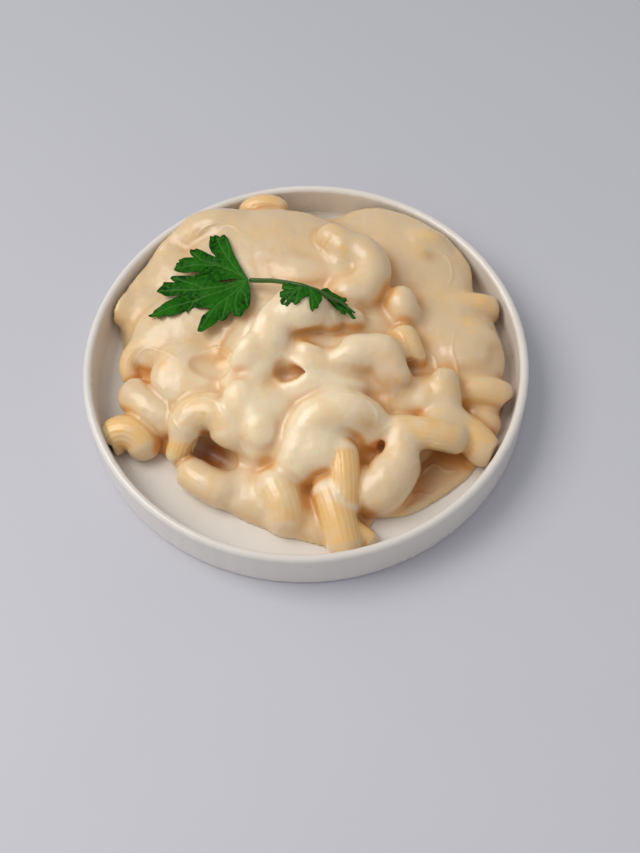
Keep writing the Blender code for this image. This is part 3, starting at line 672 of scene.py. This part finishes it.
def line_distance(points, line):
    """Distance from each point to a line of joined segments, and the share along it."""
    best = np.full(len(points), 1e9)
    share = np.zeros(len(points))
    line = np.array(line, float)
    for i, (a, b) in enumerate(zip(line, line[1:])):
        t = np.clip(((points - a) @ (b - a)) / ((b - a) @ (b - a) + 1e-12), 0, 1)
        away = np.linalg.norm(points - a - t[:, None] * (b - a), axis=1)
        closer = away < best
        best[closer] = away[closer]
        share[closer] = (i + t[closer]) / (len(line) - 1)
    return best, share


def outline_distance(points, outline):
    """Signed distance to a closed outline, below zero inside it."""
    ring = np.array(outline + outline[:1], float)
    away = line_distance(points, ring)[0]
    inside = np.zeros(len(points), bool)
    for a, b in zip(ring, ring[1:]):
        crosses = (a[1] > points[:, 1]) != (b[1] > points[:, 1])
        at = (b[0] - a[0]) * (points[:, 1] - a[1]) / (b[1] - a[1] + 1e-12) + a[0]
        inside ^= crosses & (points[:, 0] < at)
    return np.where(inside, -away, away)


def side_veins(line, spacing, length):
    """Branches off a vein, leaning forward, to both sides in turn."""
    line = np.array(line, float)
    branches = []
    for i, (a, b) in enumerate(zip(line, line[1:])):
        run = np.linalg.norm(b - a)
        ahead = (b - a) / run
        for step in np.arange(spacing / 2, run, spacing):
            for side in (-1, 1):
                lean = side * math.radians(42)
                way = np.array((ahead[0] * math.cos(lean) - ahead[1] * math.sin(lean),
                                ahead[0] * math.sin(lean) + ahead[1] * math.cos(lean)))
                start = a + ahead * (step + side * spacing / 4)
                branches.append((tuple(start), tuple(start + way * length)))
    return branches


def blur(values, rounds):
    for _ in range(rounds):
        padded = np.pad(values, 1, mode="edge")
        values = (padded[:-2, 1:-1] + padded[2:, 1:-1] + padded[1:-1, :-2]
                  + padded[1:-1, 2:] + 2 * values) / 6
    return values


def blade(bm, layers, tree, base, outline, slit, veins, slope, seed, drop):
    """A thin lobed blade with sunken veins, lying on the sauce, added to a bmesh."""
    step = LEAF_STEP
    edge = np.array(outline, float)
    low = edge.min(0) - 2 * step
    size = np.ceil((edge.max(0) + 2 * step - low) / step).astype(int) + 1
    gx, gy = np.meshgrid(low[0] + step * np.arange(size[0]), low[1] + step * np.arange(size[1]),
                         indexing="ij")
    nodes = np.stack((gx.ravel(), gy.ravel()), 1)
    away = outline_distance(nodes, outline)
    if slit:
        away = np.maximum(away, -outline_distance(nodes, slit))
    away = away.reshape(gx.shape)
    ground = np.zeros(len(nodes))
    for i, (x, y) in enumerate(nodes):
        hit = tree.ray_cast(Vector(((base[0] + x) * MM, (base[1] + y) * MM, 0.1)),
                            Vector((0, 0, -1)))[0]
        ground[i] = hit.z / MM if hit else FLOOR
    ground = ground.reshape(gx.shape)
    plane = base[2] + slope[0] * gx + slope[1] * gy
    level = np.maximum(plane, ground + 0.7)
    level = blur(level, 60)
    level = np.maximum(level, ground + 0.5)
    level = blur(level, 12)
    solid = away < 0
    count = (solid[:-1, :-1].astype(int) + solid[1:, :-1] + solid[:-1, 1:] + solid[1:, 1:])
    cells = np.argwhere(count > 0)
    index = np.full(count.shape, -1)
    index[count > 0] = np.arange(len(cells))
    place = np.zeros((len(cells), 2))
    for n, (i, j) in enumerate(cells):
        corners = ((i, j), (i + 1, j), (i + 1, j + 1), (i, j + 1))
        if count[i, j] == 4:
            place[n] = (i + 0.5, j + 0.5)
            continue
        cuts = []
        for a, b in zip(corners, corners[1:] + corners[:1]):
            if solid[a] != solid[b]:
                t = away[a] / (away[a] - away[b])
                cuts.append((a[0] + t * (b[0] - a[0]), a[1] + t * (b[1] - a[1])))
        place[n] = np.mean(cuts, 0)
    flat = low + step * place
    ci = np.clip(place.astype(int), 0, np.array(level.shape) - 2)
    part = place - ci
    def at(grid):
        return ((grid[ci[:, 0], ci[:, 1]] * (1 - part[:, 0]) + grid[ci[:, 0] + 1, ci[:, 1]]
                 * part[:, 0]) * (1 - part[:, 1])
                + (grid[ci[:, 0], ci[:, 1] + 1] * (1 - part[:, 0])
                   + grid[ci[:, 0] + 1, ci[:, 1] + 1] * part[:, 0]) * part[:, 1])
    height = at(level)
    rim = np.clip(-at(away), 0, None)
    vein = np.full(len(flat), 1e9)
    for line in veins:
        vein = np.minimum(vein, line_distance(flat, line)[0])
    small = np.full(len(flat), 1e9)
    for line in veins:
        for branch in side_veins(line, 2.6, 4.5):
            small = np.minimum(small, line_distance(flat, branch)[0])
    points3 = np.column_stack((flat + np.array(base[:2]), np.zeros(len(flat))))
    waves = noise_at(points3, 9.0, seed)
    blister = noise_at(points3, 2.2, seed + 3)
    height += 0.9 * waves + 0.10 * np.minimum(vein, 4.0) + 0.16 * blister
    height -= 0.22 * np.exp(-(vein / 0.45) ** 2) + 0.10 * np.exp(-(small / 0.3) ** 2)
    height -= drop * np.exp(-rim / 1.2)
    veiny = np.maximum(np.exp(-(vein / 0.4) ** 2), 0.45 * np.exp(-(small / 0.25) ** 2))
    mark, tone = layers
    sheets = []
    for lift in (0.0, LEAF_THICKNESS):
        row = []
        for (x, y), z, v, w in zip(flat, height, veiny, waves):
            vert = bm.verts.new(((base[0] + x) * MM, (base[1] + y) * MM, (z + lift) * MM))
            vert[mark] = float(v)
            vert[tone] = float(w)
            row.append(vert)
        sheets.append(row)
    for i, j in np.argwhere(solid):
        ring = [index[i - 1, j - 1], index[i, j - 1], index[i, j], index[i - 1, j]]
        if min(ring) < 0:
            continue
        bm.faces.new([sheets[1][n] for n in ring])
        bm.faces.new([sheets[0][n] for n in ring[::-1]])
    bm.edges.ensure_lookup_table()
    count_top = len(sheets[0])
    lower = {vert: n for n, vert in enumerate(sheets[0])}
    rims = [edge_ for vert in sheets[0] for edge_ in vert.link_edges
            if edge_.is_boundary and edge_.verts[0] is vert]
    for edge_ in rims:
        a, b = (lower[v] for v in edge_.verts)
        loop = edge_.link_loops[0]
        if loop.vert is not edge_.verts[0]:
            a, b = b, a
        bm.faces.new((sheets[0][b], sheets[0][a], sheets[1][a], sheets[1][b]))


def smooth_path(points, steps):
    """A curve through the points, each span in so many steps."""
    points = [np.array(p, float) for p in points]
    points = [2 * points[0] - points[1]] + points + [2 * points[-1] - points[-2]]
    path = []
    for a, b, c, d in zip(points, points[1:], points[2:], points[3:]):
        for t in np.arange(steps) / steps:
            path.append(0.5 * (2 * b + (c - a) * t + (2 * a - 5 * b + 4 * c - d) * t * t
                               + (3 * b - a - 3 * c + d) * t ** 3))
    path.append(points[-2])
    return np.array(path)


def add_tube(bm, layers, path, radii, sides=14, ribs=0.0):
    mark, tone = layers
    rings = []
    side = np.array((0.0, 0.0, 1.0))
    for n, point in enumerate(path):
        ahead = path[min(n + 1, len(path) - 1)] - path[max(n - 1, 0)]
        ahead /= np.linalg.norm(ahead)
        across = np.cross(ahead, side)
        across /= np.linalg.norm(across)
        up = np.cross(across, ahead)
        ring = []
        for corner in range(sides):
            angle = math.tau * corner / sides
            radius = radii[n] * (1 + ribs * math.cos(5 * angle))
            vert = bm.verts.new((point + radius * (math.cos(angle) * across
                                                   + math.sin(angle) * up)) * MM)
            vert[mark] = 1.0
            vert[tone] = 0.0
            ring.append(vert)
        rings.append(ring)
    for first, second in zip(rings, rings[1:]):
        for corner in range(sides):
            following = (corner + 1) % sides
            bm.faces.new((first[corner], first[following], second[following], second[corner]))
    bm.faces.new(rings[0][::-1])
    bm.faces.new(rings[-1])


def leaf_layers(bm):
    return bm.verts.layers.float.new("vein"), bm.verts.layers.float.new("tone")


def make_parsley(tree, leaf_material, stem_material):
    bm = bmesh.new()
    layers = leaf_layers(bm)
    blade(bm, layers, tree, LEAF_BASE, LEAF_OUTLINE, LEAF_SLIT, LEAF_VEINS, (0.15, 0.0), 11, 0.0)
    blade(bm, layers, tree, NEAR_BASE, NEAR_OUTLINE, (), NEAR_VEINS, (0.0, 0.12), 12, 0.2)
    blade(bm, layers, tree, FAR_BASE, FAR_OUTLINE, (), FAR_VEINS, (-0.45, 0.0), 13, 0.2)
    bmesh.ops.recalc_face_normals(bm, faces=bm.faces)
    mesh = bpy.data.meshes.new("parsley_leaves")
    bm.to_mesh(mesh)
    bm.free()
    leaves = add_mesh("parsley_leaves", mesh, leaf_material, "parsley_sprig")
    bm = bmesh.new()
    layers = leaf_layers(bm)
    path = smooth_path(STEM, 6)
    share = np.linspace(0, 1, len(path))
    add_tube(bm, layers, path, np.interp(share, (0, 0.1, 0.6, 1), (0.95, 0.95, 0.85, 0.4)),
             20, 0.06)
    bmesh.ops.recalc_face_normals(bm, faces=bm.faces)
    mesh = bpy.data.meshes.new("parsley_stem")
    bm.to_mesh(mesh)
    bm.free()
    add_mesh("parsley_stem", mesh, stem_material, "parsley_sprig")
    return leaves


# ---------------------------------------------------------------- materials

def attribute(tree, name):
    return node(tree, "ShaderNodeAttribute", attribute_name=name).outputs["Fac"]


def mix_colour(tree, factor, first, second):
    item = tree.nodes.new("ShaderNodeMix")
    item.data_type = "RGBA"
    for socket, value in ((item.inputs[0], factor), (item.inputs[6], first),
                          (item.inputs[7], second)):
        if isinstance(value, bpy.types.NodeSocket):
            tree.links.new(value, socket)
        elif isinstance(value, (tuple, list)):
            socket.default_value = (*value, 1.0)
        else:
            socket.default_value = value
    return item.outputs[2]


def remap(tree, value, low, high, out_low=0.0, out_high=1.0):
    item = tree.nodes.new("ShaderNodeMapRange")
    tree.links.new(value, item.inputs[0])
    for socket, number in zip(item.inputs[1:5], (low, high, out_low, out_high)):
        socket.default_value = number
    return item.outputs[0]


def texture(tree, scale, detail=2.0, rough=0.5, kind="ShaderNodeTexNoise"):
    coords = tree.nodes.new("ShaderNodeTexCoord")
    item = tree.nodes.new(kind)
    item.inputs["Scale"].default_value = scale
    if kind == "ShaderNodeTexNoise":
        item.inputs["Detail"].default_value = detail
        item.inputs["Roughness"].default_value = rough
    tree.links.new(coords.outputs["Object"], item.inputs["Vector"])
    return item.outputs[0]


def bump(tree, shader, height, distance, strength=1.0, normal=None):
    item = tree.nodes.new("ShaderNodeBump")
    item.inputs["Distance"].default_value = distance * MM
    item.inputs["Strength"].default_value = strength
    tree.links.new(height, item.inputs["Height"])
    if normal is not None:
        tree.links.new(normal, item.inputs["Normal"])
    tree.links.new(item.outputs[0], shader.inputs["Normal"])
    return item.outputs[0]


CREAM = (0.925, 0.765, 0.525)
FALLOFF_SHADE_BUTTER = (0.735, 0.555, 0.335)
PASTA = (0.86, 0.56, 0.22)
CREVICE_SHADE_AMBER = (0.70, 0.34, 0.085)
SHADOW_BROWN = (0.30, 0.09, 0.008)


def sauce_material():
    material, tree, shader = new_material("cheese sauce")
    link = tree.links.new
    # Painted light: cream inside the ring, darker butter outside it, where the light falls off.
    light_falloff_colour = mix_colour(tree, remap(tree, attribute(tree, "painted_light_falloff"), 0.0, 1.0), CREAM, FALLOFF_SHADE_BUTTER)
    tone = mix_colour(tree, remap(tree, texture(tree, 95.0), 0.5, 0.75, 0, 0.5), light_falloff_colour, PASTA)
    thin = mix_colour(tree, remap(tree, attribute(tree, "thin"), 0.1, 0.9), tone, PASTA)
    # Painted shade: creases and closed-in places painted amber, standing for shadow and warm
    # bounce light.
    crevice_shaded_colour = mix_colour(tree, remap(tree, attribute(tree, "hollow"), 0.13, 0.6, 0, 0.9), thin,
                      CREVICE_SHADE_AMBER)
    # Painted shadow: the shadow spots painted brown.
    shadow_painted_colour = mix_colour(tree, remap(tree, attribute(tree, "painted_shadow"), 0.0, 1.0, 0, 0.95), crevice_shaded_colour,
                         SHADOW_BROWN)
    link(shadow_painted_colour, shader.inputs["Base Color"])
    link(remap(tree, texture(tree, 160.0), 0.3, 0.7, 0.30, 0.42), shader.inputs["Roughness"])
    shader.inputs["Subsurface Weight"].default_value = 0.6
    shader.inputs["Subsurface Radius"].default_value = (0.0040, 0.0022, 0.0009)
    shader.inputs["Subsurface Scale"].default_value = 1.0
    # Less coat where shadow is painted, so the dark spots show no sheen.
    link(remap(tree, attribute(tree, "painted_shadow"), 0.2, 0.8, 0.5, 0.0), shader.inputs["Coat Weight"])
    shader.inputs["Coat Roughness"].default_value = 0.25
    ripple = bump(tree, shader, texture(tree, 230.0), 0.5, 0.5)
    bump(tree, shader, texture(tree, 700.0, 3.0), 0.10, 0.5, ripple)
    return material


def pasta_material():
    material, tree, shader = new_material("sauced macaroni")
    link = tree.links.new
    tone = mix_colour(tree, remap(tree, texture(tree, 120.0, 3.0), 0.35, 0.65),
                      (0.90, 0.69, 0.41), (0.86, 0.57, 0.25))
    link(tone, shader.inputs["Base Color"])
    link(remap(tree, texture(tree, 300.0), 0.3, 0.7, 0.25, 0.4), shader.inputs["Roughness"])
    shader.inputs["Subsurface Weight"].default_value = 0.6
    shader.inputs["Subsurface Radius"].default_value = (0.004, 0.002, 0.0007)
    shader.inputs["Subsurface Scale"].default_value = 1.0
    shader.inputs["Coat Weight"].default_value = 0.3
    shader.inputs["Coat Roughness"].default_value = 0.15
    bump(tree, shader, texture(tree, 900.0, 3.0), 0.08, 0.5)
    return material


def stoneware_material():
    material, tree, shader = new_material("stoneware glaze")
    link = tree.links.new
    tone = mix_colour(tree, remap(tree, texture(tree, 30.0, 4.0), 0.35, 0.7),
                      (0.80, 0.755, 0.70), (0.75, 0.705, 0.65))
    link(tone, shader.inputs["Base Color"])
    link(remap(tree, texture(tree, 90.0, 3.0), 0.3, 0.7, 0.26, 0.38), shader.inputs["Roughness"])
    shader.inputs["Coat Weight"].default_value = 0.35
    shader.inputs["Coat Roughness"].default_value = 0.12
    bump(tree, shader, texture(tree, 140.0, 2.0), 0.04, 0.4)
    return material


def leaf_material():
    material, tree, shader = new_material("parsley leaf")
    link = tree.links.new
    tone = mix_colour(tree, remap(tree, attribute(tree, "tone"), -0.4, 0.5),
                      (0.002, 0.030, 0.001), (0.010, 0.115, 0.002))
    speck = mix_colour(tree, remap(tree, texture(tree, 700.0, 3.0), 0.40, 0.65), tone,
                       (0.016, 0.130, 0.003))
    veins = mix_colour(tree, remap(tree, attribute(tree, "vein"), 0.2, 1.0, 0, 0.75), speck,
                       (0.060, 0.20, 0.030))
    link(veins, shader.inputs["Base Color"])
    link(remap(tree, texture(tree, 400.0), 0.3, 0.7, 0.30, 0.5), shader.inputs["Roughness"])
    shader.inputs["Specular IOR Level"].default_value = 0.06
    bump(tree, shader, texture(tree, 1500.0, 3.0), 0.06, 0.6)
    return material


def stem_material():
    material, tree, shader = new_material("parsley stem")
    link = tree.links.new
    tone = mix_colour(tree, remap(tree, texture(tree, 120.0, 2.0), 0.35, 0.65),
                      (0.045, 0.125, 0.012), (0.030, 0.090, 0.008))
    link(tone, shader.inputs["Base Color"])
    shader.inputs["Roughness"].default_value = 0.38
    shader.inputs["Subsurface Weight"].default_value = 0.2
    shader.inputs["Subsurface Radius"].default_value = (0.0006, 0.0015, 0.0003)
    shader.inputs["Subsurface Scale"].default_value = 1.0
    bump(tree, shader, texture(tree, 800.0, 2.0), 0.08, 0.5)
    return material


def floor_material():
    material, tree, shader = new_material("pale tabletop")
    link = tree.links.new
    tone = mix_colour(tree, remap(tree, texture(tree, 9.0, 3.0), 0.3, 0.7),
                      (0.60, 0.605, 0.66), (0.585, 0.59, 0.645))
    # Painted shade: the tabletop is painted darker towards the back, standing for the light
    # falling off.
    coords = node(tree, "ShaderNodeTexCoord").outputs["Object"]
    split = node(tree, "ShaderNodeSeparateXYZ")
    link(coords, split.inputs[0])
    floor_painted_falloff = mix_colour(tree, remap(tree, split.outputs[1], -0.12, 0.25), tone,
                       (0.50, 0.505, 0.56))
    link(floor_painted_falloff, shader.inputs["Base Color"])
    shader.inputs["Roughness"].default_value = 0.6
    bump(tree, shader, texture(tree, 600.0, 3.0), 0.05, 0.3)
    return material


# ---------------------------------------------------------------- setting

def make_floor():
    bm = bmesh.new()
    rings = []
    for radius in (0.0, 0.25, 0.6, 1.3, 2.4):
        if radius == 0:
            rings.append([bm.verts.new((0, 0, 0))])
            continue
        rings.append([bm.verts.new((radius * math.cos(a), radius * math.sin(a), 0))
                      for a in np.arange(64) * math.tau / 64])
    for i in range(64):
        bm.faces.new((rings[0][0], rings[1][i], rings[1][(i + 1) % 64]))
        for low, high in zip(rings[1:], rings[2:]):
            bm.faces.new((low[i], high[i], high[(i + 1) % 64], low[(i + 1) % 64]))
    mesh = bpy.data.meshes.new("tabletop")
    bm.to_mesh(mesh)
    bm.free()
    item = bpy.data.objects.new("tabletop", mesh)
    bpy.context.collection.objects.link(item)
    mesh.materials.append(floor_material())


def make_camera():
    """From the front, looking down 60 degrees, turned a little about its own axis."""
    data = bpy.data.cameras.new("camera")
    data.sensor_width = 36.0
    data.lens = 1300 * 36 / 853
    camera = bpy.data.objects.new("camera", data)
    bpy.context.collection.objects.link(camera)
    pitch, roll = math.radians(60.2), math.radians(-3.0)
    forward = Vector((0, math.cos(pitch), -math.sin(pitch)))
    level = Vector((1, 0, 0))
    upright = level.cross(forward)
    right = math.cos(roll) * level + math.sin(roll) * upright
    up = math.cos(roll) * upright - math.sin(roll) * level
    place = Matrix((right, up, -forward)).transposed().to_4x4()
    place.translation = Vector((4.6, -286.0, 463.0)) * MM
    camera.matrix_world = place
    bpy.context.scene.camera = camera


def make_light():
    world = bpy.data.worlds.new("studio")
    bpy.context.scene.world = world
    world.use_nodes = True
    sky = world.node_tree.nodes["Background"]
    sky.inputs[0].default_value = (0.93, 0.93, 0.96, 1.0)
    sky.inputs[1].default_value = 0.50
    lamp = bpy.data.lights.new("window", "AREA")
    lamp.energy = 17.5
    lamp.size = 1.1
    lamp.color = (1.0, 0.97, 0.92)
    item = bpy.data.objects.new("window", lamp)
    bpy.context.collection.objects.link(item)
    item.location = (-1.0, 0.2, 1.35)
    item.rotation_euler = (-item.location).to_track_quat("-Z", "Y").to_euler()


field = sauce_field()
sauce = make_sauce(field, sauce_material())
macaroni = make_macaroni(pasta_material())
surface = BVHTree.FromObject(sauce, bpy.context.evaluated_depsgraph_get())
make_parsley(surface, leaf_material(), stem_material())
glaze = stoneware_material()
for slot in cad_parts["dish"].material_slots:
    slot.material = glaze
make_floor()
make_camera()
make_light()
bpy.context.scene.view_settings.view_transform = "Standard"
